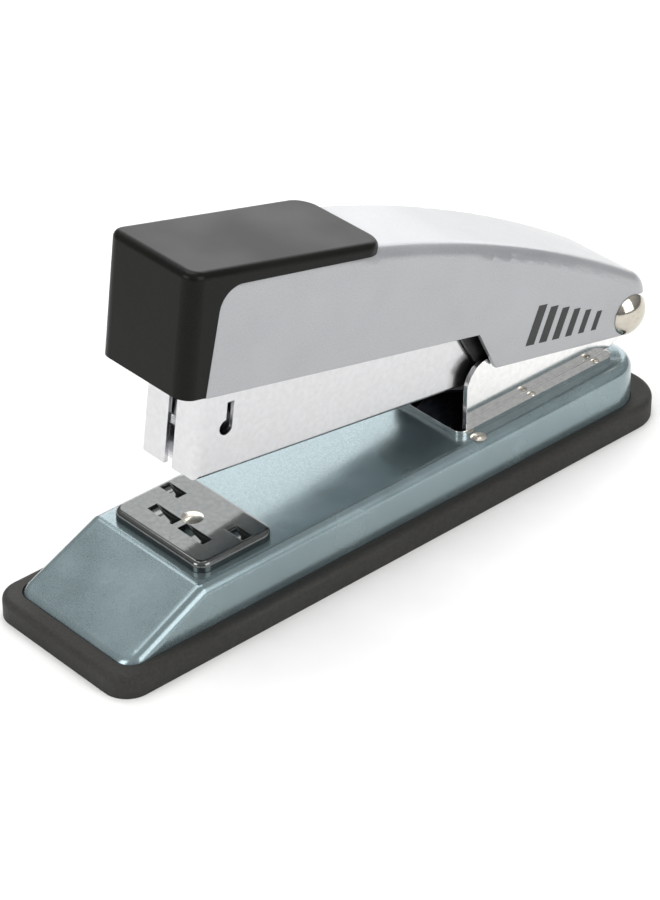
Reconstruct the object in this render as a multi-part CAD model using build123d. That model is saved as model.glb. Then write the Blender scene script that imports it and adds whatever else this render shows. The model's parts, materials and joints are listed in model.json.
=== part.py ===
from build123d import *
import os
from math import atan2, cos, degrees, radians, sin, sqrt

# A desk stapler, in millimetres. The origin is under the middle of the base pad.
# The nose points to -X, the hinge is at the +X end, and +Z is up.

# Hinge: one pin across the stapler, parallel to Y.
PIN_X = 70.1
PIN_Z = 22.8
PIN_R = 2.0
PIN_HOLE_R = 2.05
PIN_HEAD_R = 4.65
PIN_HEAD_RISE = 2.1
HINGE = Axis((PIN_X, 0, PIN_Z), (0, 1, 0))

# How far the two levers stand nose-up at rest, in degrees.
MAGAZINE_PITCH = 7.5
HANDLE_PITCH = 12.5

# Rubber pad under the base.
PAD_LENGTH = 151.4
PAD_WIDTH = 40.7
PAD_HEIGHT = 5.0
PAD_FLOOR = 2.0
PAD_FRONT_R = 5.5
PAD_REAR_R = 10.0
PAD_RIM_R = 1.4
PAD_TREAD_DEPTH = 0.7

# Pressed sheet-metal base.
BASE_FRONT_X = -72.1
BASE_REAR_X = 71.2
BASE_WIDTH = 35.0
BASE_TOP = 14.3
BASE_SHEET = 1.2
BASE_FRONT_R = 4.0
BASE_REAR_R = 8.5
BASE_SHOULDER_R = 2.4
BASE_DRAFT = 2.0
FACET_TOP_X = -52.4

# Anvil: a pressed plate that lifts and turns on a sprung rivet.
ANVIL_X = -40.9
ANVIL_LENGTH = 19.3
ANVIL_WIDTH = 27.1
ANVIL_TOP = 16.6
ANVIL_GAP = 0.1
ANVIL_SHEET = 1.1
ANVIL_RIM_R = 1.1
GROOVE_OFFSET = 3.3
GROOVE_WIDTH = 2.5
GROOVE_DEPTH = 0.9
INNER_GROOVE = (0.8, 8.4)
OUTER_GROOVE = (7.0, 12.6)
ANVIL_POST_R = 1.5
ANVIL_HEAD_R = 2.25
ANVIL_HEAD_RISE = 0.6
BUTTON_R = 5.4
BUTTON_Z = (1.0, 7.0)
BUTTON_WELL_R = 6.4

# Hinge bracket on the base.
BRACKET_SHEET = 1.2
BRACKET_X = (19.5, 65.0)
BRACKET_HALF_WIDTH = 13.0
BRACKET_CORNER_R = 2.0
BRACKET_BEND_R = 0.4
EAR_Y = (9.6, 10.7)
EAR_FRONT_X = 23.5
EAR_TOP_Z = 28.5
EAR_CORNER_R = 6.0
EAR_EYE_R = 4.8
RIVET_SHANK_R = 0.8
RIVET_TAIL_Z = BASE_TOP - 2.0
BRACKET_RIVETS = [(x, side * 12.0) for x in (41.0, 60.0) for side in (-1, 1)]
FOOT_RIVETS = [(22.9, side * 14.9) for side in (-1, 1)]

# Leaf spring that holds the magazine up.
LIFT_RIVET = (47.5, 0.0)
LIFT_LEAF = 0.5
LIFT_WIDTH = 10.0
LIFT_HEEL_X = 51.0
LIFT_BEND_X = 40.0
LIFT_TIP = (12.4, 22.9)

# Magazine, drawn level: u runs from the pin towards +X, w runs up from the pin.
MAG_HALF_WIDTH = 8.0
MAG_SHEET = 0.9
MAG_FLOOR_SHEET = 0.8
MAG_NOSE_U = -116.9
MAG_BOTTOM_W = -6.6
MAG_WALL_W = 12.5
MAG_GUIDE_W = 20.0
MAG_GUIDE_DEPTH = 5.3
MAG_EYE_R = 5.3
MAG_EXIT = 1.5
NOSE_SLOT = 2.3
KEYHOLE = (-110.1, 3.3)
KEYHOLE_R = 1.6

# Staple rail, staples and follower, in the same level frame.
CHANNEL_FLOOR_W = MAG_BOTTOM_W + MAG_FLOOR_SHEET
RAIL_HALF_WIDTH = 5.65
RAIL_SHEET = 0.8
RAIL_TOP_W = 0.2
RAIL_U = (-114.5, -12.0)
RAIL_SLOT_U = (-66.0, -20.0)
RAIL_SLOT_WIDTH = 2.6
STAPLE_CROWN = 12.7
STAPLE_LEG = 6.0
STAPLE_WIRE = 0.5
STAPLE_U = (-114.5, -64.5)
FOLLOWER_U = (-64.4, -52.4)
FOLLOWER_HALF_WIDTH = 6.6
LUG_U = (-60.0, -56.0)
ROD_W = -3.2
ROD_R = 0.9
ANCHOR_U = (-16.0, -13.0)
FOLLOWER_COIL_R = 1.8
FOLLOWER_WIRE = 0.6

# Handle, drawn level about the same pin.
HANDLE_HALF_WIDTH = 12.2
HANDLE_SHEET = 1.0
HANDLE_LOWER_W = 3.6
HANDLE_SHOULDER_R = 3.0
SHELL_NOSE_U = -120.8
SHELL_SEAT_W = 26.4
CREST_REAR = (-0.5, 9.4)
CREST_MIDDLE = (-39.0, 21.1)
CREST_FRONT = (-78.5, 27.3)
SKIRT_TOP_U = -46.9
SKIRT_LOW = (-39.9, -5.0)
HANDLE_EYE_R = 4.6
EYE_JOINT_U = -12.0
HANDLE_REAR_U = 5.0
REAR_CORNER_R = 6.5
REAR_OPENING_R = 7.2
REAR_CORNER_START = 15.0
CAP_REAR_U = -78.5
CAP_TOP_REAR_W = 28.9
CAP_TOP_FRONT_W = 29.9
CAP_FRONT_U = -129.0
CAP_LEAN = 2.4
CAP_WALL = 2.1
CAP_OVERLAP = 0.15
CAP_LOWER_W = 3.9
CAP_CORNER_R = 5.0
SEAT_CORNER_R = 5.0

# Frame, leaf and blade inside the handle.
FRAME_Y = (8.35, 9.25)
FRAME_U = (-110.5, -62.0)
FRAME_WEB_W = (21.1, 22.0)
LEAF_W = (22.0, 22.8)
LEAF_U = (-114.9, -66.0)
LEAF_WIDTH = 11.0
BLADE_U = (-115.5, -114.9)
BLADE_W = (-6.4, 24.4)
BLADE_WIDTH = 12.4
FRAME_RIVETS = (-74.0, -84.0)

# Sleeve and return spring on the pin, between the magazine's walls.
SLEEVE_R = 3.1
SLEEVE_HALF = 6.8
RETURN_COIL_R = 3.8
RETURN_WIRE = 0.9
RETURN_TURNS = 7


def level(u, w):
    """World X and Z of a point given from the hinge axis, with the lever held level."""
    return (PIN_X + u, PIN_Z + w)


def tilt(part, pitch):
    """Turns a level part nose-up about the hinge to its place at rest."""
    return part.rotate(HINGE, pitch)


def slab(face, y_low, y_high):
    """Extrudes a face drawn in X and Z between two values of Y."""
    return extrude(Plane.XZ.offset(-y_high) * face, y_high - y_low)


def level_slab(points, y_low, y_high):
    """A slab whose outline is a polygon of (u, w) points."""
    outline = Polygon(*[level(u, w) for u, w in points], align=None)
    return slab(outline, y_low, y_high)


def level_block(u_range, y_range, w_range):
    """A rectangular block in the level frame."""
    u_low, u_high = u_range
    w_low, w_high = w_range
    corners = [(u_low, w_low), (u_high, w_low), (u_high, w_high), (u_low, w_high)]
    return level_slab(corners, *y_range)


def upright_rod(radius, x, y, z_low, z_high):
    """A cylinder parallel to Z."""
    return Pos(x, y, (z_low + z_high) / 2) * Cylinder(radius, z_high - z_low)


def both_sides(part):
    """A part and its mirror image across the middle plane."""
    return [part, mirror(part, Plane.XZ)]


def cross_rod(radius, y_low, y_high, x=PIN_X, z=PIN_Z):
    """A cylinder parallel to Y."""
    return Pos(x, (y_low + y_high) / 2, z) * Rot(90, 0, 0) * Cylinder(radius, y_high - y_low)


def dome(radius, rise):
    """A low spherical cap standing on Z = 0."""
    slope = radius / sqrt(2)
    sphere_r = (radius**2 + rise**2) / (2 * rise)
    mid_z = sqrt(sphere_r**2 - slope**2) - (sphere_r - rise)
    edge = ThreePointArc((radius, 0), (slope, mid_z), (0, rise))
    profile = make_face([Line((0, 0), (radius, 0)), edge, Line((0, rise), (0, 0))])
    return revolve(Plane.XZ * profile, Axis.Z)


def rivet(x, y, z_head, head_r, rise, shank_r, z_tail):
    """A round-headed rivet: head upward at z_head, shank down to z_tail."""
    return Pos(x, y, z_head) * dome(head_r, rise) + upright_rod(shank_r, x, y, z_tail, z_head)


def coil(radius, wire, length, turns):
    """A helical spring standing on Z = 0."""
    path = Helix(pitch=(length - wire) / turns, height=length - wire, radius=radius)
    section = Plane(origin=path @ 0, z_dir=path % 0) * Circle(wire / 2)
    return Pos(0, 0, wire / 2) * sweep(section, path)


# ---- base -------------------------------------------------------------------


def base_plan(grow):
    """The base's outline from above, grown outward by the given amount."""
    length = BASE_REAR_X - BASE_FRONT_X + 2 * grow
    plan = Pos((BASE_REAR_X + BASE_FRONT_X) / 2, 0) * Rectangle(length, BASE_WIDTH + 2 * grow)
    plan = fillet(plan.vertices().group_by(Axis.X)[0], BASE_FRONT_R + grow)
    return fillet(plan.vertices().sort_by(Axis.X)[-2:], BASE_REAR_R + grow)


def base_block(inset):
    """The pressed base as a solid block, its faces moved inward by inset."""
    bottom = PAD_FLOOR - (1.0 if inset else 0.0)
    top = BASE_TOP - inset
    block = extrude(Plane.XY.offset(bottom) * base_plan(-inset), top - bottom, taper=BASE_DRAFT)
    slope = atan2(BASE_TOP - PAD_HEIGHT, FACET_TOP_X - BASE_FRONT_X)
    facet_foot = (BASE_FRONT_X + inset * sin(slope), PAD_HEIGHT - inset * cos(slope))
    facet = Pos(*facet_foot) * Rot(0, 0, degrees(slope)) * Rectangle(80, 40, align=(Align.CENTER, Align.MIN))
    block -= slab(facet, -BASE_WIDTH, BASE_WIDTH)
    radius = BASE_SHOULDER_R - inset
    edges = block.edges().filter_by(lambda e: e.center().Z > PAD_HEIGHT + 1.0)
    rims = edges.filter_by(lambda e: e.center().Z > top - 0.01)
    facet_sides = edges.filter_by(lambda e: e.center().Z < top - 0.5 and abs(e.center().Y) > 10)
    facet_sides = facet_sides.filter_by(lambda e: e.center().X < FACET_TOP_X)
    return fillet(list(rims) + list(facet_sides), radius)


def make_base_plate():
    shell = base_block(0) - base_block(BASE_SHEET)
    shell -= Pos(ANVIL_X, 0, BASE_TOP) * Cylinder(ANVIL_POST_R + 0.05, 6)
    for x, y in BRACKET_RIVETS + FOOT_RIVETS + [LIFT_RIVET]:
        shell -= Pos(x, y, BASE_TOP) * Cylinder(RIVET_SHANK_R, 6)
    return shell


def make_base_pad():
    plan = Rectangle(PAD_LENGTH, PAD_WIDTH)
    plan = fillet(plan.vertices().group_by(Axis.X)[0], PAD_FRONT_R)
    plan = fillet(plan.vertices().sort_by(Axis.X)[-2:], PAD_REAR_R)
    pad = extrude(plan, PAD_HEIGHT)
    pad = fillet(pad.edges().group_by(Axis.Z)[-1], PAD_RIM_R)
    pad -= extrude(Plane.XY.offset(PAD_FLOOR) * base_plan(0), PAD_HEIGHT)
    pad -= Pos(ANVIL_X, 0, 0) * Cylinder(BUTTON_WELL_R, 3 * PAD_FLOOR)
    for step in range(8):
        groove = Pos(-22 + 12 * step, 0, 0) * Box(3, PAD_WIDTH - 12, 2 * PAD_TREAD_DEPTH)
        pad -= groove
    return pad


def make_bracket_rivets():
    head_z = BASE_TOP + BRACKET_SHEET
    return [rivet(x, y, head_z, 0.95, 0.5, RIVET_SHANK_R, RIVET_TAIL_Z) for x, y in BRACKET_RIVETS]


def make_foot_rivets():
    return [rivet(x, y, BASE_TOP, 1.7, 0.6, RIVET_SHANK_R, RIVET_TAIL_Z) for x, y in FOOT_RIVETS]


def ear_face():
    """One ear of the hinge bracket, seen from the side."""
    start = EAR_TOP_Z - EAR_CORNER_R
    bend = EAR_CORNER_R * (1 - cos(radians(45)))
    corner_end = (EAR_FRONT_X + EAR_CORNER_R, EAR_TOP_Z)
    eye_top = (PIN_X, PIN_Z + EAR_EYE_R)
    eye_low = (PIN_X + EAR_EYE_R * sin(radians(20)), PIN_Z - EAR_EYE_R * cos(radians(20)))
    foot = (BRACKET_X[1] - 3.5, BASE_TOP)
    edges = [
        Line((EAR_FRONT_X, BASE_TOP), (EAR_FRONT_X, start)),
        ThreePointArc((EAR_FRONT_X, start), (EAR_FRONT_X + bend, EAR_TOP_Z - bend), corner_end),
        Line(corner_end, eye_top),
        ThreePointArc(eye_top, (PIN_X + EAR_EYE_R, PIN_Z), eye_low),
        Line(eye_low, foot),
        Line(foot, (EAR_FRONT_X, BASE_TOP)),
    ]
    return make_face(edges)


def make_hinge_bracket():
    length = BRACKET_X[1] - BRACKET_X[0]
    plan = RectangleRounded(length, 2 * BRACKET_HALF_WIDTH, BRACKET_CORNER_R)
    centre = Pos(sum(BRACKET_X) / 2, 0, BASE_TOP)
    bracket = extrude(centre * plan, BRACKET_SHEET)
    for ear in both_sides(slab(ear_face(), *EAR_Y)):
        bracket += ear
    floor_z = BASE_TOP + BRACKET_SHEET
    roots = bracket.edges().filter_by(Axis.X).filter_by(lambda e: abs(e.center().Z - floor_z) < 0.01)
    bracket = fillet(roots.filter_by(lambda e: abs(abs(e.center().Y) - EAR_Y[1]) < 0.01), BRACKET_BEND_R)
    bracket -= cross_rod(PIN_HOLE_R, -20, 20)
    for x, y in BRACKET_RIVETS + [LIFT_RIVET]:
        bracket -= Pos(x, y, BASE_TOP) * Cylinder(RIVET_SHANK_R, 6)
    return bracket


def make_lift_spring():
    """The leaf that holds the magazine up: flat under its rivet, then rising forward to its tip."""
    floor_z = BASE_TOP + BRACKET_SHEET
    bend = (LIFT_BEND_X, floor_z)
    under = Spline([bend, LIFT_TIP], tangents=[(-1, 0), (-1, 0.1)])
    over = Pos(0, LIFT_LEAF) * under
    band = [
        Line((LIFT_HEEL_X, floor_z), bend),
        under,
        Line(LIFT_TIP, (LIFT_TIP[0], LIFT_TIP[1] + LIFT_LEAF)),
        over,
        Line((LIFT_BEND_X, floor_z + LIFT_LEAF), (LIFT_HEEL_X, floor_z + LIFT_LEAF)),
        Line((LIFT_HEEL_X, floor_z + LIFT_LEAF), (LIFT_HEEL_X, floor_z)),
    ]
    leaf = slab(make_face(band), -LIFT_WIDTH / 2, LIFT_WIDTH / 2)
    return leaf - Pos(*LIFT_RIVET, floor_z) * Cylinder(RIVET_SHANK_R, 4)


def make_lift_rivet():
    head_z = BASE_TOP + BRACKET_SHEET + LIFT_LEAF
    return rivet(*LIFT_RIVET, head_z, 1.8, 0.2, RIVET_SHANK_R, RIVET_TAIL_Z)


# ---- anvil ------------------------------------------------------------------


def anvil_groove(x, y_range):
    """A staple-curling groove: a shallow arc seen along X."""
    half_chord = (y_range[1] - y_range[0]) / 2
    radius = (half_chord**2 + GROOVE_DEPTH**2) / (2 * GROOVE_DEPTH)
    centre = ((y_range[0] + y_range[1]) / 2, ANVIL_TOP - GROOVE_DEPTH + radius)
    return Pos(x, *centre) * Rot(0, 90, 0) * Cylinder(radius, GROOVE_WIDTH)


def make_anvil_plate():
    bottom = BASE_TOP + ANVIL_GAP
    height = ANVIL_TOP - bottom
    corner_r = 2.6
    plan = RectangleRounded(ANVIL_LENGTH, ANVIL_WIDTH, corner_r)
    plate = extrude(Pos(ANVIL_X, 0, bottom) * plan, height)
    plate = fillet(plate.edges().group_by(Axis.Z)[-1], ANVIL_RIM_R)
    inner_length = ANVIL_LENGTH - 2 * ANVIL_SHEET
    inner = RectangleRounded(inner_length, ANVIL_WIDTH - 2 * ANVIL_SHEET, corner_r - ANVIL_SHEET)
    hollow = extrude(Pos(ANVIL_X, 0, bottom) * inner, height - ANVIL_SHEET)
    grooves = ((ANVIL_X - GROOVE_OFFSET, INNER_GROOVE), (ANVIL_X + GROOVE_OFFSET, OUTER_GROOVE))
    for x, (y_low, y_high) in grooves:
        bulge = Box(GROOVE_WIDTH + 1.6, y_high - y_low + 0.4, height)
        for side in both_sides(Pos(x, (y_low + y_high) / 2, bottom + height / 2) * bulge):
            hollow -= side
    plate -= hollow
    for x, y_range in grooves:
        for groove in both_sides(anvil_groove(x, y_range)):
            plate -= groove
    return plate - Pos(ANVIL_X, 0, ANVIL_TOP) * Cylinder(ANVIL_POST_R, 8)


def make_anvil_rivet():
    """The post that carries the anvil: domed head on top, flat foot inside the button."""
    foot_z = BUTTON_Z[0] + 0.6
    post = upright_rod(ANVIL_POST_R, ANVIL_X, 0, foot_z, ANVIL_TOP)
    foot = upright_rod(2.6, ANVIL_X, 0, foot_z, foot_z + 1.0)
    return post + foot + Pos(ANVIL_X, 0, ANVIL_TOP) * dome(ANVIL_HEAD_R, ANVIL_HEAD_RISE)


def make_anvil_button():
    low, high = BUTTON_Z
    button = upright_rod(BUTTON_R, ANVIL_X, 0, low, high)
    button = fillet(button.edges().group_by(Axis.Z)[0], 0.6)
    button -= upright_rod(2.65, ANVIL_X, 0, low, low + 1.65)
    return button - upright_rod(ANVIL_POST_R + 0.05, ANVIL_X, 0, low, high)


def make_anvil_spring():
    length = BASE_TOP - BASE_SHEET - BUTTON_Z[1]
    return Pos(ANVIL_X, 0, BUTTON_Z[1]) * coil(3.2, 0.7, length, 4)


# ---- hinge ------------------------------------------------------------------


def make_hinge_pin():
    pin = cross_rod(PIN_R, -HANDLE_HALF_WIDTH - 0.1, HANDLE_HALF_WIDTH + 0.1)
    head = dome(PIN_HEAD_R, PIN_HEAD_RISE)
    near = Pos(PIN_X, -HANDLE_HALF_WIDTH - 0.1, PIN_Z) * Rot(90, 0, 0) * head
    far = Pos(PIN_X, HANDLE_HALF_WIDTH + 0.1, PIN_Z) * Rot(-90, 0, 0) * head
    return pin + near + far


def make_hinge_sleeve():
    return cross_rod(SLEEVE_R, -SLEEVE_HALF, SLEEVE_HALF) - cross_rod(PIN_HOLE_R, -SLEEVE_HALF, SLEEVE_HALF)


def make_return_spring():
    """The coil that pushes the handle back up, wound round the sleeve."""
    length = RETURN_TURNS * 1.4 + RETURN_WIRE
    turns = coil(RETURN_COIL_R, RETURN_WIRE, length, RETURN_TURNS)
    return Pos(PIN_X, length / 2, PIN_Z) * Rot(90, 0, 0) * turns


# ---- magazine ---------------------------------------------------------------


def magazine_wall_face():
    """A magazine side wall, seen from the side, with its rear end round about the pin."""
    guide_u = MAG_NOSE_U + MAG_GUIDE_DEPTH
    rear_slope = (-22.0, MAG_WALL_W)
    crown = MAG_EYE_R * sin(radians(22))
    crown_w = MAG_EYE_R * cos(radians(22))
    edges = [
        Line(level(MAG_NOSE_U, MAG_BOTTOM_W), level(MAG_NOSE_U, MAG_GUIDE_W)),
        Line(level(MAG_NOSE_U, MAG_GUIDE_W), level(guide_u - 2.0, MAG_GUIDE_W)),
        Line(level(guide_u - 2.0, MAG_GUIDE_W), level(guide_u, MAG_GUIDE_W - 3.0)),
        Line(level(guide_u, MAG_GUIDE_W - 3.0), level(guide_u, MAG_WALL_W)),
        Line(level(guide_u, MAG_WALL_W), level(*rear_slope)),
        Line(level(*rear_slope), level(-crown, crown_w)),
        ThreePointArc(level(-crown, crown_w), level(MAG_EYE_R, 0), level(0, -MAG_EYE_R)),
        Line(level(0, -MAG_EYE_R), level(-8.0, MAG_BOTTOM_W)),
        Line(level(-8.0, MAG_BOTTOM_W), level(MAG_NOSE_U, MAG_BOTTOM_W)),
    ]
    return make_face(edges)


def keyhole_cutter():
    """The keyhole window near the nose: a round hole with a narrow neck above it."""
    hole = cross_rod(KEYHOLE_R, -20, 20, *level(*KEYHOLE))
    neck_u = (KEYHOLE[0] - 0.1, KEYHOLE[0] + KEYHOLE_R)
    neck = level_block(neck_u, (-20, 20), (KEYHOLE[1], KEYHOLE[1] + 5.4))
    return hole + neck


def make_magazine_housing():
    block = slab(magazine_wall_face(), -MAG_HALF_WIDTH, MAG_HALF_WIDTH)
    low_edges = block.edges().filter_by(Axis.X).group_by(Axis.Z)[0]
    nose_edges = block.edges().filter_by(Axis.Z).group_by(Axis.X)[0]
    block = fillet(list(low_edges) + list(nose_edges), 1.0)
    inner_y = MAG_HALF_WIDTH - MAG_SHEET
    inner_u = MAG_NOSE_U + MAG_SHEET
    channel = level_block((inner_u, 20), (-inner_y, inner_y), (CHANNEL_FLOOR_W, MAG_GUIDE_W + 5))
    exit_window = level_block((inner_u, inner_u + MAG_EXIT), (-inner_y, inner_y), (MAG_BOTTOM_W - 1, 0))
    slot_y = (-NOSE_SLOT / 2, NOSE_SLOT / 2)
    slot = level_block((MAG_NOSE_U - 1, inner_u + 1), slot_y, (MAG_BOTTOM_W - 1, MAG_GUIDE_W + 1))
    under_pin = level_block((-9.0, 20), (-inner_y, inner_y), (MAG_BOTTOM_W - 1, 0))
    housing = block - channel - exit_window - slot - under_pin - keyhole_cutter()
    return housing - cross_rod(PIN_HOLE_R, -20, 20)


def make_staple_rail():
    rail = level_block(RAIL_U, (-RAIL_HALF_WIDTH, RAIL_HALF_WIDTH), (CHANNEL_FLOOR_W, RAIL_TOP_W))
    inner_y = RAIL_HALF_WIDTH - RAIL_SHEET
    rail -= level_block((RAIL_U[0] + 1.0, 0), (-inner_y, inner_y), (CHANNEL_FLOOR_W, RAIL_TOP_W - RAIL_SHEET))
    slot_y = (-RAIL_SLOT_WIDTH / 2, RAIL_SLOT_WIDTH / 2)
    rail -= level_block(RAIL_SLOT_U, slot_y, (RAIL_TOP_W - 1, RAIL_TOP_W + 1))
    return rail - guide_rod_solid(RAIL_U[0])


def guide_rod_solid(front_u):
    """The rod inside the rail, from the given front end to its rear anchor."""
    x, z = level(front_u, ROD_W)
    length = ANCHOR_U[1] + 0.8 - front_u
    return Pos(x + length / 2, 0, z) * Rot(0, 90, 0) * Cylinder(ROD_R, length)


def make_rod_anchor():
    inner_y = RAIL_HALF_WIDTH - RAIL_SHEET
    anchor = level_block(ANCHOR_U, (-inner_y, inner_y), (CHANNEL_FLOOR_W, RAIL_TOP_W - RAIL_SHEET))
    return anchor - guide_rod_solid(RAIL_U[0])


def make_staple_strip():
    half = STAPLE_CROWN / 2
    top = RAIL_TOP_W + STAPLE_WIRE
    inner_y = half - STAPLE_WIRE
    strip = level_block(STAPLE_U, (-half, half), (top - STAPLE_LEG, top))
    return strip - level_block(STAPLE_U, (-inner_y, inner_y), (top - STAPLE_LEG, RAIL_TOP_W))


def make_follower():
    """The saddle that pushes the staples, with a lug through the rail's slot onto the rod."""
    half = FOLLOWER_HALF_WIDTH
    saddle = level_block(FOLLOWER_U, (-half, half), (-5.2, 2.4))
    clear = RAIL_HALF_WIDTH + 0.3
    saddle -= level_block(FOLLOWER_U, (-clear, clear), (-5.3, RAIL_TOP_W + 0.3))
    neck = level_block(LUG_U, (-1.0, 1.0), (-1.2, RAIL_TOP_W + 0.4))
    lug = level_block(LUG_U, (-3.0, 3.0), (-5.3, -1.0))
    x, z = level(LUG_U[0] - 1, ROD_W)
    bore = Pos(x, 0, z) * Rot(0, 90, 0) * Cylinder(ROD_R + 0.1, 20)
    return saddle + neck + (lug - bore)


def make_follower_spring():
    length = ANCHOR_U[0] - LUG_U[1]
    x, z = level(LUG_U[1], ROD_W)
    return Pos(x, 0, z) * Rot(0, 90, 0) * coil(FOLLOWER_COIL_R, FOLLOWER_WIRE, length, 13)


# ---- handle -----------------------------------------------------------------


def crest_circle():
    """Centre and radius, in the level frame, of the arc along the handle's top."""
    (ax, ay), (bx, by), (cx, cy) = CREST_REAR, CREST_MIDDLE, CREST_FRONT
    twice_area = 2 * (ax * (by - cy) + bx * (cy - ay) + cx * (ay - by))
    a2, b2, c2 = ax**2 + ay**2, bx**2 + by**2, cx**2 + cy**2
    centre_u = (a2 * (by - cy) + b2 * (cy - ay) + c2 * (ay - by)) / twice_area
    centre_w = (a2 * (cx - bx) + b2 * (ax - cx) + c2 * (bx - ax)) / twice_area
    return centre_u, centre_w, sqrt((ax - centre_u) ** 2 + (ay - centre_w) ** 2)


def top_chain(inset, front_u):
    """The handle's top seen from the side: a rear rounding that runs into the long crest arc.

    Returns its first point, its last point and its two arcs, all moved in by inset."""
    crest_u, crest_w, crest_r = crest_circle()
    corner_u = HANDLE_REAR_U - REAR_CORNER_R
    corner_w = crest_w + sqrt((crest_r - REAR_CORNER_R) ** 2 - (corner_u - crest_u) ** 2)
    radius = REAR_CORNER_R - inset
    touch_angle = atan2(corner_w - crest_w, corner_u - crest_u)
    start_angle = radians(REAR_CORNER_START)

    def on_corner(angle):
        return (corner_u + radius * cos(angle), corner_w + radius * sin(angle))

    def on_crest(u):
        return (u, crest_w + sqrt((crest_r - inset) ** 2 - (u - crest_u) ** 2))

    start, touch = on_corner(start_angle), on_corner(touch_angle)
    middle = on_corner((start_angle + touch_angle) / 2)
    end = on_crest(front_u)
    rounding = ThreePointArc(level(*start), level(*middle), level(*touch))
    crest = ThreePointArc(level(*touch), level(*on_crest((touch[0] + front_u) / 2)), level(*end))
    return start, end, [rounding, crest]


def lower_edge(u):
    """A point on the straight lower edge that runs from the skirt's corner to the eye."""
    return (u, -HANDLE_EYE_R + (SKIRT_LOW[1] + HANDLE_EYE_R) * u / SKIRT_LOW[0])


def handle_side_face():
    """The handle's outer outline from the side, before the cap's seat is cut and the eye is added."""
    front_u = SHELL_NOSE_U - 2.0
    start, end, top = top_chain(0, front_u)
    edges = [
        Line(level(*lower_edge(EYE_JOINT_U)), level(EYE_JOINT_U, start[1])),
        Line(level(EYE_JOINT_U, start[1]), level(*start)),
        *top,
        Line(level(*end), level(front_u, HANDLE_LOWER_W)),
        Line(level(front_u, HANDLE_LOWER_W), level(SKIRT_TOP_U, HANDLE_LOWER_W)),
        Line(level(SKIRT_TOP_U, HANDLE_LOWER_W), level(*SKIRT_LOW)),
        Line(level(*SKIRT_LOW), level(*lower_edge(EYE_JOINT_U))),
    ]
    return make_face(edges)


def eye_side_face():
    """The round eye about the pin, with the strip that joins it to the side wall."""
    joint = lower_edge(2 * EYE_JOINT_U)
    edges = [
        Line(level(*joint), level(0, -HANDLE_EYE_R)),
        ThreePointArc(level(0, -HANDLE_EYE_R), level(HANDLE_EYE_R, 0), level(0, HANDLE_EYE_R)),
        Line(level(0, HANDLE_EYE_R), level(joint[0], HANDLE_EYE_R)),
        Line(level(joint[0], HANDLE_EYE_R), level(*joint)),
    ]
    return make_face(edges)


def crest_edges(part):
    """The long edges where the handle's top meets its sides."""
    high = part.edges().filter_by(lambda e: e.center().Z > PIN_Z + 8)
    return high.filter_by(lambda e: abs(e.center().Y) > 8 and e.length > 20)


def seat_corner():
    """The rounded corner between the shell's top seat and its front."""
    bend = SEAT_CORNER_R * (1 - cos(radians(45)))
    return ThreePointArc(
        level(SHELL_NOSE_U + SEAT_CORNER_R, SHELL_SEAT_W),
        level(SHELL_NOSE_U + bend, SHELL_SEAT_W - bend),
        level(SHELL_NOSE_U, SHELL_SEAT_W - SEAT_CORNER_R),
    )


def cap_side_face(margin):
    """The cap from the side: a deep front strip and a thin strip along the top, grown outward by margin."""
    rear_top = (CAP_REAR_U, CAP_TOP_REAR_W + margin)
    front_top = (CAP_FRONT_U - margin, CAP_TOP_FRONT_W + margin)
    front_low = (CAP_FRONT_U + CAP_LEAN - margin, CAP_LOWER_W - margin)
    edges = [
        Line(level(CAP_REAR_U, SHELL_SEAT_W), level(*rear_top)),
        Line(level(*rear_top), level(*front_top)),
        Line(level(*front_top), level(*front_low)),
        Line(level(*front_low), level(SHELL_NOSE_U, front_low[1])),
        Line(level(SHELL_NOSE_U, front_low[1]), level(SHELL_NOSE_U, SHELL_SEAT_W - SEAT_CORNER_R)),
        seat_corner(),
        Line(level(SHELL_NOSE_U + SEAT_CORNER_R, SHELL_SEAT_W), level(CAP_REAR_U, SHELL_SEAT_W)),
    ]
    return make_face(edges)


def cap_block(margin):
    """The cap's outline as a block, a little wider than the shell, with its rear corners rounded."""
    half = HANDLE_HALF_WIDTH + CAP_OVERLAP
    block = slab(cap_side_face(margin), -half, half)
    rear_corners = block.edges().filter_by(Axis.Z).group_by(Axis.X)[-1]
    return fillet(rear_corners, CAP_CORNER_R)


def cavity_slab(top_inset, side_inset):
    """One layer of the space inside the shell, open below and, around the pin, at the rear."""
    low = -30.0
    nose_u = SHELL_NOSE_U + HANDLE_SHEET
    ceiling = SHELL_SEAT_W - top_inset
    corner = SEAT_CORNER_R - HANDLE_SHEET
    crest_u, crest_w, crest_r = crest_circle()
    meet_u = crest_u + sqrt((crest_r - top_inset) ** 2 - (ceiling - crest_w) ** 2)
    start, end, top = top_chain(top_inset, meet_u)
    bend = corner * (1 - cos(radians(45)))
    edges = [
        Line(level(start[0], low), level(*start)),
        *top,
        Line(level(*end), level(nose_u + corner, ceiling)),
        ThreePointArc(
            level(nose_u + corner, ceiling),
            level(nose_u + bend, ceiling - bend),
            level(nose_u, ceiling - corner),
        ),
        Line(level(nose_u, ceiling - corner), level(nose_u, low)),
        Line(level(nose_u, low), level(start[0], low)),
    ]
    around_pin = Pos(*level(0, 0)) * Circle(REAR_OPENING_R)
    half = HANDLE_HALF_WIDTH - side_inset
    return slab(make_face(edges) + around_pin, -half, half)


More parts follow.
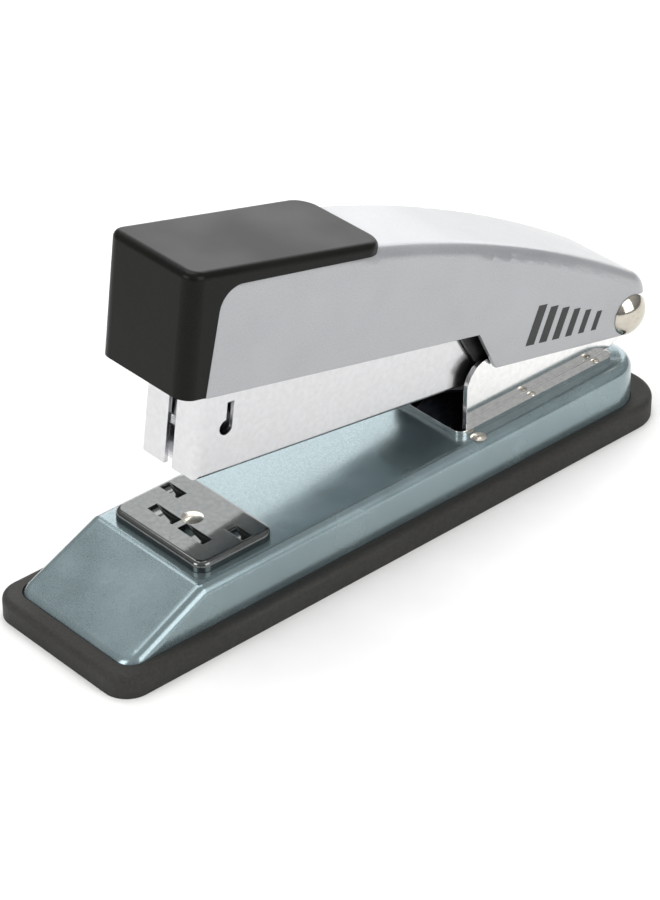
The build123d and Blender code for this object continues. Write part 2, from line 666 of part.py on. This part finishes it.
def nose_box(inset):
    """The narrower nose of the shell, which the cap slides over."""
    half = HANDLE_HALF_WIDTH - CAP_WALL - inset
    low_w = HANDLE_LOWER_W + 0.9 - (20.0 if inset else 0.0)
    top_w = SHELL_SEAT_W - inset
    lean = CAP_LEAN * (low_w - SHELL_SEAT_W) / (CAP_TOP_FRONT_W - CAP_LOWER_W)
    front_u = CAP_FRONT_U + CAP_WALL + inset
    rear_u = SHELL_NOSE_U + SEAT_CORNER_R
    points = [(rear_u, low_w), (rear_u, top_w), (front_u, top_w), (front_u - lean, low_w)]
    return level_slab(points, -half, half)


def make_handle_shell():
    body = slab(handle_side_face(), -HANDLE_HALF_WIDTH, HANDLE_HALF_WIDTH)
    body = fillet(crest_edges(body), HANDLE_SHOULDER_R)
    body += slab(eye_side_face(), -HANDLE_HALF_WIDTH, HANDLE_HALF_WIDTH)
    shell = body - cap_block(5) + nose_box(0)
    shell -= cavity_slab(HANDLE_SHEET, HANDLE_SHOULDER_R)
    shell -= cavity_slab(HANDLE_SHOULDER_R, HANDLE_SHEET)
    return shell - nose_box(HANDLE_SHEET) - cross_rod(PIN_HOLE_R, -20, 20)


def make_handle_cap():
    cap = cap_block(0)
    front = cap.edges().filter_by(lambda e: e.center().X < PIN_X + CAP_FRONT_U + CAP_LEAN)
    cap = fillet(front.filter_by(lambda e: abs(e.center().Y) > 10), 3.2)
    high = cap.edges().filter_by(lambda e: e.center().Z > PIN_Z + CAP_TOP_REAR_W - 0.6)
    cap = fillet(high, 1.5)
    return cap - nose_box(0)


def frame_side_face():
    """A side of the inner frame: it follows the skirt and ends round about the pin."""
    eye = 4.4
    lean = 3.4
    points_front = [
        (0, -eye),
        (SKIRT_LOW[0] - lean, SKIRT_LOW[1] + 0.6),
        (SKIRT_TOP_U - lean, HANDLE_LOWER_W),
        (SKIRT_TOP_U - lean, HANDLE_LOWER_W + 1.4),
        (-104.5, HANDLE_LOWER_W + 1.4),
        (-105.0, HANDLE_LOWER_W - 0.8),
        (FRAME_U[0], HANDLE_LOWER_W - 0.8),
        (FRAME_U[0], FRAME_WEB_W[1]),
        (FRAME_U[1], FRAME_WEB_W[1]),
        (-eye * sin(radians(17)), eye * cos(radians(17))),
    ]
    corners = [level(u, w) for u, w in points_front]
    edges = [Line(a, b) for a, b in zip(corners, corners[1:])]
    edges.append(ThreePointArc(corners[-1], level(eye, 0), corners[0]))
    return make_face(edges)


def make_inner_frame():
    frame = level_block(FRAME_U, (-FRAME_Y[1], FRAME_Y[1]), FRAME_WEB_W)
    for wall in both_sides(slab(frame_side_face(), *FRAME_Y)):
        frame += wall
    return frame - cross_rod(PIN_HOLE_R, -20, 20)


def make_driver_leaf():
    return level_block(LEAF_U, (-LEAF_WIDTH / 2, LEAF_WIDTH / 2), LEAF_W)


def make_driver_blade():
    return level_block(BLADE_U, (-BLADE_WIDTH / 2, BLADE_WIDTH / 2), BLADE_W)


def make_frame_rivets():
    """Two rivets that hold the leaf on the frame's web, heads up."""
    rivets = []
    for u in FRAME_RIVETS:
        x, z = level(u, LEAF_W[1])
        rivets.append(Pos(x, 0, z) * dome(1.6, 0.7))
    return rivets


# ---- export -----------------------------------------------------------------


def save(name, part):
    """Writes one sub-part, or several like solids, as one STEP file."""
    solids = []
    for piece in part if isinstance(part, list) else [part]:
        solids.extend(piece.solids())
    shape = solids[0] if len(solids) == 1 else Compound(solids)
    shape.label = name
    export_step(shape, os.path.join("parts", name + ".step"))


def tilted(part, pitch):
    """Tilts one sub-part, or each solid of a group."""
    return [tilt(piece, pitch) for piece in (part if isinstance(part, list) else [part])]


BASE_PIECES = {
    "base_pad": make_base_pad,
    "base_plate": make_base_plate,
    "hinge_bracket": make_hinge_bracket,
    "bracket_rivets": make_bracket_rivets,
    "foot_rivets": make_foot_rivets,
    "lift_spring": make_lift_spring,
    "lift_spring_rivet": make_lift_rivet,
    "anvil_plate": make_anvil_plate,
    "anvil_rivet": make_anvil_rivet,
    "anvil_button": make_anvil_button,
    "anvil_spring": make_anvil_spring,
    "hinge_pin": make_hinge_pin,
}
MAGAZINE_PIECES = {
    "magazine_housing": make_magazine_housing,
    "staple_rail": make_staple_rail,
    "staple_strip": make_staple_strip,
    "guide_rod": lambda: guide_rod_solid(RAIL_U[0]),
    "rod_anchor": make_rod_anchor,
    "follower": make_follower,
    "follower_spring": make_follower_spring,
}
HANDLE_PIECES = {
    "hinge_sleeve": make_hinge_sleeve,
    "return_spring": make_return_spring,
    "handle_shell": make_handle_shell,
    "handle_cap": make_handle_cap,
    "inner_frame": make_inner_frame,
    "driver_leaf": make_driver_leaf,
    "driver_blade": make_driver_blade,
    "frame_rivets": make_frame_rivets,
}

os.makedirs("parts", exist_ok=True)
for pieces, pitch in ((BASE_PIECES, 0.0), (MAGAZINE_PIECES, MAGAZINE_PITCH), (HANDLE_PIECES, HANDLE_PITCH)):
    for name, make in pieces.items():
        save(name, tilted(make(), pitch))
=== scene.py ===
import json
from math import cos, pi, radians, sin

import bmesh
import bpy
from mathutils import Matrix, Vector


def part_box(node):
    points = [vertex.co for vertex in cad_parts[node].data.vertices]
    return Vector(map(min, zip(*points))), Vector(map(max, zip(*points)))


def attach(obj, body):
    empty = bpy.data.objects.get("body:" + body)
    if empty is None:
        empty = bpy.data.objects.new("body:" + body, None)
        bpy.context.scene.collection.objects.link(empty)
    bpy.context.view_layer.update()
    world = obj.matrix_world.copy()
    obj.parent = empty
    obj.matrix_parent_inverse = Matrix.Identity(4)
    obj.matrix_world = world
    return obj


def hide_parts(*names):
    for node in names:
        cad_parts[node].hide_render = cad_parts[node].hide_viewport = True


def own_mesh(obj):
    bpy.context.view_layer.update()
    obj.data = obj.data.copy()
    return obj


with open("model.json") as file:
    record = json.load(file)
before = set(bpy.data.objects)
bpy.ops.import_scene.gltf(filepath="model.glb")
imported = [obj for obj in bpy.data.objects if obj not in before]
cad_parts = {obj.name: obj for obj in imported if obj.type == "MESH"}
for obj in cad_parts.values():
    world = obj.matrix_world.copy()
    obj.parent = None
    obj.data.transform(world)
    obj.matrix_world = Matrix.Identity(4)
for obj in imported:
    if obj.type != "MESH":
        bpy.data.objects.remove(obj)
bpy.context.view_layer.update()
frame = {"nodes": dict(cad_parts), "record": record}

# The stapler's own frame: the nose points to -X, the near side is -Y, +Z is up.
# All lengths here are in metres.
PIN = Vector((0.0701, 0.0, 0.0228))
MAGAZINE_PITCH = radians(7.5)
HANDLE_PITCH = radians(12.5)
HANDLE_SIDE_Y = -0.0122

CAMERA_TARGET = Vector((-0.00453, 0.0, 0.01603))
CAMERA_BACK = Vector((-0.5614, -0.6141, 0.5547))
CAMERA_DISTANCE = 0.6532
CAMERA_LENS = 129.63


# ---- small helpers ----------------------------------------------------------


def srgb(red, green, blue):
    """A linear colour from three display values, each above 10 and up to 255."""
    return tuple(((value / 255 + 0.055) / 1.055) ** 2.4 for value in (red, green, blue)) + (1.0,)


def placed(u, y, w, pitch):
    """A point of a level lever, given from the pin, turned nose-up to its place at rest."""
    return PIN + Vector((u * cos(pitch) + w * sin(pitch), y, -u * sin(pitch) + w * cos(pitch)))


def mesh_piece(name, points, faces, material, smooth=True):
    mesh = bpy.data.meshes.new(name)
    mesh.from_pydata([tuple(p) for p in points], [], faces)
    work = bmesh.new()
    work.from_mesh(mesh)
    bmesh.ops.recalc_face_normals(work, faces=work.faces)
    work.to_mesh(mesh)
    work.free()
    mesh.materials.append(material)
    mesh.polygons.foreach_set("use_smooth", [smooth] * len(mesh.polygons))
    piece = bpy.data.objects.new(name, mesh)
    bpy.context.scene.collection.objects.link(piece)
    return piece


def swept(path, rings):
    """Points and faces of a closed skin over rings of equal length, one ring at each place of the path."""
    count = len(rings[0])
    points = [p for ring in rings for p in ring]
    faces = []
    for i in range(len(path) - 1):
        for k in range(count):
            after = (k + 1) % count
            faces.append((i * count + k, i * count + after, (i + 1) * count + after, (i + 1) * count + k))
    faces.append(tuple(range(count)))
    faces.append(tuple((len(path) - 1) * count + k for k in range(count)))
    return points, faces


def tube(path, radius, sides=10):
    """A round wire along a path of points."""
    rings = []
    side = None
    for i, point in enumerate(path):
        ahead = (path[min(i + 1, len(path) - 1)] - path[max(i - 1, 0)]).normalized()
        if side is None:
            side = ahead.orthogonal().normalized()
        side = (side - ahead * side.dot(ahead)).normalized()
        up = ahead.cross(side)
        angles = [2 * pi * k / sides for k in range(sides)]
        rings.append([point + (side * cos(angle) + up * sin(angle)) * radius for angle in angles])
    return swept(path, rings)


HELIX_STEPS_PER_TURN = 20


def helix(start, end, radius, turns, closed_turns, wire):
    """A coil spring's centre line, with flat closed turns at both ends."""
    axis = end - start
    length = axis.length - wire
    axis.normalize()
    side = axis.orthogonal().normalized()
    up = axis.cross(side)
    pitch_free = (length - 2 * closed_turns * wire) / (turns - 2 * closed_turns)
    path = []
    steps = int(turns * HELIX_STEPS_PER_TURN)
    for i in range(steps + 1):
        turn = turns * i / steps
        travelled = min(turn, closed_turns) * wire
        travelled += max(0.0, min(turn, turns - closed_turns) - closed_turns) * pitch_free
        travelled += max(0.0, turn - (turns - closed_turns)) * wire
        angle = 2 * pi * turn
        path.append(start + axis * (wire / 2 + travelled) + (side * cos(angle) + up * sin(angle)) * radius)
    return path


# ---- materials --------------------------------------------------------------


def noise(tree, scale, detail, stretch):
    coordinates = tree.nodes.new("ShaderNodeTexCoord")
    mapping = tree.nodes.new("ShaderNodeMapping")
    mapping.inputs["Scale"].default_value = stretch
    texture = tree.nodes.new("ShaderNodeTexNoise")
    texture.inputs["Scale"].default_value = scale
    texture.inputs["Detail"].default_value = detail
    tree.links.new(coordinates.outputs["Object"], mapping.inputs["Vector"])
    tree.links.new(mapping.outputs["Vector"], texture.inputs["Vector"])
    return texture.outputs["Fac"]


def finish_material(name, dark, light, metallic, rough, grain, relief, coat=0.0, edge=0.0, specular=0.5):
    """A surface whose colour, roughness and relief vary finely.

    grain is (scale, stretch) of the colour and roughness pattern, relief is (scale, stretch, height),
    and edge is the radius, in metres, over which sharp edges catch the light."""
    material = bpy.data.materials.new(name)
    material.use_nodes = True
    tree = material.node_tree
    shader = tree.nodes["Principled BSDF"]
    shader.inputs["Metallic"].default_value = metallic
    shader.inputs["Specular IOR Level"].default_value = specular
    shader.inputs["Coat Weight"].default_value = coat
    shader.inputs["Coat Roughness"].default_value = 0.12
    fine = noise(tree, grain[0], 3.0, grain[1])
    broad = noise(tree, grain[0] / 40, 2.0, grain[1])
    blend = tree.nodes.new("ShaderNodeMath")
    blend.operation = "MULTIPLY_ADD"
    blend.inputs[1].default_value = 0.72
    tree.links.new(fine, blend.inputs[0])
    share = tree.nodes.new("ShaderNodeMath")
    share.operation = "MULTIPLY"
    share.inputs[1].default_value = 0.28
    tree.links.new(broad, share.inputs[0])
    tree.links.new(share.outputs[0], blend.inputs[2])
    ramp = tree.nodes.new("ShaderNodeValToRGB")
    ramp.color_ramp.elements[0].position = 0.36
    ramp.color_ramp.elements[0].color = dark
    ramp.color_ramp.elements[1].position = 0.64
    ramp.color_ramp.elements[1].color = light
    tree.links.new(blend.outputs[0], ramp.inputs["Fac"])
    tree.links.new(ramp.outputs["Color"], shader.inputs["Base Color"])
    spread = tree.nodes.new("ShaderNodeMapRange")
    spread.inputs["From Min"].default_value = 0.35
    spread.inputs["From Max"].default_value = 0.65
    spread.inputs["To Min"].default_value = rough[0]
    spread.inputs["To Max"].default_value = rough[1]
    tree.links.new(broad, spread.inputs["Value"])
    tree.links.new(spread.outputs["Result"], shader.inputs["Roughness"])
    bump = tree.nodes.new("ShaderNodeBump")
    bump.inputs["Strength"].default_value = 0.5
    bump.inputs["Distance"].default_value = relief[2]
    tree.links.new(noise(tree, relief[0], 3.0, relief[1]), bump.inputs["Height"])
    if edge:
        bevel = tree.nodes.new("ShaderNodeBevel")
        bevel.samples = 4
        bevel.inputs["Radius"].default_value = edge
        tree.links.new(bevel.outputs["Normal"], bump.inputs["Normal"])
    tree.links.new(bump.outputs["Normal"], shader.inputs["Normal"])
    return material


EVEN = (1, 1, 1)
ALONG_X = (0.06, 1, 1)
ALONG_Z = (1, 1, 0.08)

FINISHES = {
    "pad_rubber": finish_material(
        "pad_rubber", srgb(26, 25, 23), srgb(40, 38, 34), 0.0, (0.6, 0.78), (1400, EVEN),
        (2200, EVEN, 0.00006),
    ),
    "base_paint": finish_material(
        "base_paint", srgb(118, 135, 139), srgb(138, 155, 159), 0.7, (0.2, 0.28), (3600, EVEN),
        (1500, EVEN, 0.000008), coat=0.5,
    ),
    "bracket_chrome": finish_material(
        "bracket_chrome", srgb(224, 224, 224), srgb(236, 236, 235), 1.0, (0.07, 0.13), (900, EVEN),
        (1200, ALONG_X, 0.000003), edge=0.0002,
    ),
    # The anvil is chrome like the bracket. Its base colour is made dark as a painted reflection, standing
    # in for the dark surroundings the anvil mirrors.
    "anvil_chrome": finish_material(
        "anvil_chrome", srgb(98, 100, 100), srgb(108, 110, 109), 1.0, (0.08, 0.14), (900, EVEN),
        (1300, EVEN, 0.000003), edge=0.00015,
    ),
    "magazine_nickel": finish_material(
        "magazine_nickel", srgb(202, 202, 204), srgb(211, 211, 213), 1.0, (0.2, 0.26), (900, EVEN),
        (1500, ALONG_X, 0.000004), edge=0.0002,
    ),
    "pin_nickel": finish_material(
        "pin_nickel", srgb(186, 180, 168), srgb(198, 193, 182), 1.0, (0.1, 0.15), (900, EVEN),
        (900, EVEN, 0.000003),
    ),
    "rivet_steel": finish_material(
        "rivet_steel", srgb(196, 191, 180), srgb(218, 213, 202), 0.9, (0.2, 0.3), (1500, EVEN),
        (1500, EVEN, 0.00001),
    ),
    "rail_steel": finish_material(
        "rail_steel", srgb(190, 192, 196), srgb(208, 209, 212), 1.0, (0.22, 0.34), (1800, ALONG_X),
        (1600, ALONG_X, 0.000006), edge=0.00015,
    ),
    "blade_steel": finish_material(
        "blade_steel", srgb(158, 160, 165), srgb(184, 186, 190), 1.0, (0.24, 0.36), (2000, ALONG_Z),
        (1800, ALONG_Z, 0.000006),
    ),
    "spring_steel": finish_material(
        "spring_steel", srgb(42, 44, 52), srgb(70, 74, 86), 0.85, (0.26, 0.4), (1600, ALONG_X),
        (1500, ALONG_X, 0.000006),
    ),
    # Near-black inner frame: partly its own dark steel, partly painted shade for the shadowed gap between
    # the magazine side and the handle skirt.
    "frame_steel": finish_material(
        "frame_steel", srgb(24, 24, 25), srgb(42, 42, 43), 0.6, (0.36, 0.5), (1800, EVEN),
        (1800, EVEN, 0.00002),
    ),
    "button_steel": finish_material(
        "button_steel", srgb(174, 174, 172), srgb(200, 200, 197), 1.0, (0.24, 0.36), (1500, EVEN),
        (1500, EVEN, 0.00001),
    ),
    "coil_steel": finish_material(
        "coil_steel", srgb(166, 166, 168), srgb(198, 198, 200), 1.0, (0.2, 0.32), (2500, EVEN),
        (2500, EVEN, 0.00001),
    ),
    "staple_wire": finish_material(
        "staple_wire", srgb(186, 188, 192), srgb(216, 217, 220), 1.0, (0.2, 0.32), (2500, EVEN),
        (2500, EVEN, 0.00001),
    ),
    "handle_paint": finish_material(
        "handle_paint", srgb(156, 157, 160), srgb(168, 169, 172), 0.45, (0.3, 0.38), (3600, EVEN),
        (1800, EVEN, 0.000006), coat=0.3, edge=0.0002,
    ),
    "cap_plastic": finish_material(
        "cap_plastic", srgb(14, 14, 13), srgb(21, 21, 19), 0.0, (0.3, 0.4), (2200, EVEN),
        (2600, EVEN, 0.000012), specular=0.12,
    ),
}
ink = finish_material(
    "printed_ink", srgb(14, 14, 15), srgb(30, 30, 32), 0.0, (0.4, 0.52), (3000, EVEN),
    (3000, EVEN, 0.00001),
)

for subpart in frame["record"]["subparts"]:
    node = frame["nodes"][subpart["node"]]
    node.data.materials.clear()
    node.data.materials.append(FINISHES[subpart["material_slot"]])


# ---- staples ----------------------------------------------------------------

STAPLE_CROWN = 0.0127
STAPLE_LEG = 0.006
STAPLE_WIRE = 0.0005
STAPLE_CORNER = 0.0006
STAPLE_TOP_W = 0.0007
STAPLE_FIRST_U = -0.1145
STAPLE_COUNT = 100
STAPLE_REACH = 0.49
STAPLE_FLAT = 0.45


def staple_line():
    """The centre line of one staple as (y, w) points: leg, corner, crown, corner, leg."""
    half = (STAPLE_CROWN - STAPLE_WIRE) / 2
    top = STAPLE_TOP_W - STAPLE_WIRE / 2
    line = [(-half, STAPLE_TOP_W - STAPLE_LEG)]
    for side, angles in ((-1, (180, 150, 120, 90)), (1, (90, 60, 30, 0))):
        for angle in angles:
            y = side * (half - STAPLE_CORNER) + STAPLE_CORNER * cos(radians(angle))
            line.append((y, top - STAPLE_CORNER + STAPLE_CORNER * sin(radians(angle))))
    line.append((half, STAPLE_TOP_W - STAPLE_LEG))
    return line


def make_staples():
    """The glued strip: each staple is its own flattened wire with rounded edges."""
    line = staple_line()
    reach = STAPLE_WIRE * STAPLE_REACH
    edge = reach * STAPLE_FLAT
    section = [(-reach, -edge), (-edge, -reach), (edge, -reach), (reach, -edge)]
    section += [(reach, edge), (edge, reach), (-edge, reach), (-reach, edge)]
    points, faces = [], []
    for number in range(STAPLE_COUNT):
        u = STAPLE_FIRST_U + (number + 0.5) * STAPLE_WIRE
        rings = []
        for i, (y, w) in enumerate(line):
            before, after = line[max(i - 1, 0)], line[min(i + 1, len(line) - 1)]
            ahead = Vector((after[0] - before[0], after[1] - before[1])).normalized()
            across = Vector((-ahead[1], ahead[0]))
            ring = [(u + a, y + across[0] * b, w + across[1] * b) for a, b in section]
            rings.append([placed(*corner, MAGAZINE_PITCH) for corner in ring])
        more_points, more_faces = swept(line, rings)
        faces += [tuple(k + len(points) for k in face) for face in more_faces]
        points += more_points
    return mesh_piece("staples", points, faces, FINISHES["staple_wire"], smooth=False)


staples = make_staples()
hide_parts("staple_strip")
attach(staples, "magazine")


# ---- springs ----------------------------------------------------------------

LEAF_FLOOR_Z = 0.0155
LEAF_SHEET = 0.0005
LEAF_HEEL_X = 0.051
LEAF_BEND_X = 0.040
LEAF_TIP = (0.0124, 0.0229)
LEAF_HALF_WIDTH = 0.005


def leaf_station(x):
    """The height of the leaf's underside and half its width, at one place along it."""
    run = (LEAF_BEND_X - x) / (LEAF_BEND_X - LEAF_TIP[0])
    rise = LEAF_TIP[1] - LEAF_FLOOR_Z
    height = 0.0 if run <= 0 else rise * run * run * (3 - 2 * run) * 0.9 + rise * 0.1 * run**3
    to_end = min(x - LEAF_TIP[0], LEAF_HEEL_X - x)
    corner = 0.0015
    cut = max(0.0, corner - to_end)
    return LEAF_FLOOR_Z + height, LEAF_HALF_WIDTH - corner + (corner**2 - cut**2) ** 0.5


def make_lift_leaf():
    """The blued leaf that lifts the magazine, with rounded corners and softened edges."""
    count = 48
    stations = [LEAF_HEEL_X + (LEAF_TIP[0] - LEAF_HEEL_X) * i / count for i in range(count + 1)]
    soft = LEAF_SHEET * 0.3
    rings = []
    for x in stations:
        z, half = leaf_station(x)
        half = max(half, LEAF_HALF_WIDTH * 0.7)
        outline = [(-half, soft), (soft - half, 0), (half - soft, 0), (half, soft)]
        outline += [(half, LEAF_SHEET - soft), (half - soft, LEAF_SHEET)]
        outline += [(soft - half, LEAF_SHEET), (-half, LEAF_SHEET - soft)]
        rings.append([Vector((x, y, z + rise)) for y, rise in outline])
    return mesh_piece("lift_leaf", *swept(stations, rings), FINISHES["spring_steel"], smooth=False)


lift_leaf = make_lift_leaf()
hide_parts("lift_spring")
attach(lift_leaf, "base")
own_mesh(lift_leaf)

FOLLOWER_COIL_RADIUS = 0.0018
FOLLOWER_WIRE = 0.0006
ANVIL_COIL_RADIUS = 0.0032
ANVIL_WIRE = 0.0007

coil_front = placed(-0.056, 0, -0.0032, MAGAZINE_PITCH)
coil_rear = placed(-0.016, 0, -0.0032, MAGAZINE_PITCH)
follower_line = helix(coil_front, coil_rear, FOLLOWER_COIL_RADIUS, 15, 1, FOLLOWER_WIRE)
follower_coil = mesh_piece("follower_coil", *tube(follower_line, FOLLOWER_WIRE / 2), FINISHES["coil_steel"])
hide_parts("follower_spring")
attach(follower_coil, "magazine")
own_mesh(follower_coil)

anvil_low, anvil_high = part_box("anvil_spring")
anvil_middle = (anvil_low + anvil_high) / 2
anvil_foot = Vector((anvil_middle.x, 0, anvil_low.z))
anvil_head = Vector((anvil_middle.x, 0, anvil_high.z))
anvil_line = helix(anvil_foot, anvil_head, ANVIL_COIL_RADIUS, 5, 1, ANVIL_WIRE)
anvil_coil = mesh_piece("anvil_coil", *tube(anvil_line, ANVIL_WIRE / 2), FINISHES["coil_steel"])
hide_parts("anvil_spring")
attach(anvil_coil, "base")
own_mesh(anvil_coil)


# ---- printed mark on the near side of the handle -----------------------------

INK_DEPTH = 0.00004


def ink_slab(name, outline):
    """A thin printed patch: a (u, w) outline on the handle's near side."""
    front = [placed(u, HANDLE_SIDE_Y - INK_DEPTH, w, HANDLE_PITCH) for u, w in outline]
    back = [placed(u, HANDLE_SIDE_Y + INK_DEPTH, w, HANDLE_PITCH) for u, w in outline]
    count = len(outline)
    faces = [tuple(range(count)), tuple(range(count, 2 * count))]
    faces += [(k, (k + 1) % count, count + (k + 1) % count, count + k) for k in range(count)]
    patch = mesh_piece(name, front + back, faces, ink, smooth=False)
    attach(patch, "handle")


MARK_BARS = 6
MARK_START_U = -0.0320
MARK_PITCH = 0.0040
MARK_FOOT_W = -0.0016
MARK_FIRST_WIDTH = 0.0025
MARK_FIRST_HEIGHT = 0.0088
MARK_LEAN = 0.2

# Slanted bars that get narrower and lower towards the hinge.
for number in range(MARK_BARS):
    foot_u = MARK_START_U + MARK_PITCH * number
    width = MARK_FIRST_WIDTH - 0.0002 * number
    height = MARK_FIRST_HEIGHT - 0.0009 * number
    top_u = foot_u + MARK_LEAN * height
    corners = [(foot_u, MARK_FOOT_W), (foot_u + width, MARK_FOOT_W)]
    corners += [(top_u + width, MARK_FOOT_W + height), (top_u, MARK_FOOT_W + height)]
    ink_slab("mark_bar_%d" % (number + 1), corners)


# ---- floor, light and camera -------------------------------------------------

FLOOR_REACH = 4

floor_mesh = bpy.data.meshes.new("floor")
corners = [(-FLOOR_REACH, -FLOOR_REACH, 0), (FLOOR_REACH, -FLOOR_REACH, 0)]
corners += [(FLOOR_REACH, FLOOR_REACH, 0), (-FLOOR_REACH, FLOOR_REACH, 0)]
floor_mesh.from_pydata(corners, [], [(0, 1, 2, 3)])
floor = bpy.data.objects.new("floor", floor_mesh)
bpy.context.scene.collection.objects.link(floor)
floor_mesh.materials.append(
    finish_material("floor_card", srgb(242, 242, 241), srgb(246, 246, 245), 0.0, (0.85, 0.95), (60, EVEN),
                    (200, EVEN, 0.00002), specular=0.1)
)

world = bpy.data.worlds.new("studio")
bpy.context.scene.world = world
world.use_nodes = True
sky = world.node_tree
direction = sky.nodes.new("ShaderNodeTexCoord")
split = sky.nodes.new("ShaderNodeSeparateXYZ")
shade = sky.nodes.new("ShaderNodeValToRGB")
shade.color_ramp.elements[0].position = 0.0
shade.color_ramp.elements[0].color = (0.32, 0.33, 0.34, 1)
shade.color_ramp.elements[1].position = 0.55
shade.color_ramp.elements[1].color = (1, 1, 1, 1)
sky.links.new(direction.outputs["Generated"], split.inputs["Vector"])
sky.links.new(split.outputs["Z"], shade.inputs["Fac"])
sky.links.new(shade.outputs["Color"], sky.nodes["Background"].inputs["Color"])
sky.nodes["Background"].inputs["Strength"].default_value = 0.55


def softbox(name, place, power, size):
    """A square soft light that faces the stapler."""
    light = bpy.data.lights.new(name, "AREA")
    light.energy = power
    light.size = size
    lamp = bpy.data.objects.new(name, light)
    lamp.location = place
    lamp.rotation_mode = "QUATERNION"
    lamp.rotation_quaternion = (Vector((0, 0, 0.03)) - Vector(place)).to_track_quat("-Z", "Y")
    bpy.context.scene.collection.objects.link(lamp)


softbox("near_side", (0.15, -0.8, 0.4), 3.8, 0.6)
softbox("above", (0.1, 0.25, 0.9), 5.0, 0.7)
softbox("behind", (0.95, 0.8, 0.5), 7.4, 1.1)
softbox("front", (-0.9, 0.1, 0.45), 3.6, 0.5)

camera_data = bpy.data.cameras.new("camera")
camera_data.lens = CAMERA_LENS
camera_data.clip_start = 0.01
camera = bpy.data.objects.new("camera", camera_data)
camera.location = CAMERA_TARGET + CAMERA_BACK * CAMERA_DISTANCE
camera.rotation_mode = "QUATERNION"
camera.rotation_quaternion = (-CAMERA_BACK).to_track_quat("-Z", "Y")
bpy.context.scene.collection.objects.link(camera)
bpy.context.scene.camera = camera
bpy.context.scene.view_settings.view_transform = "Standard"
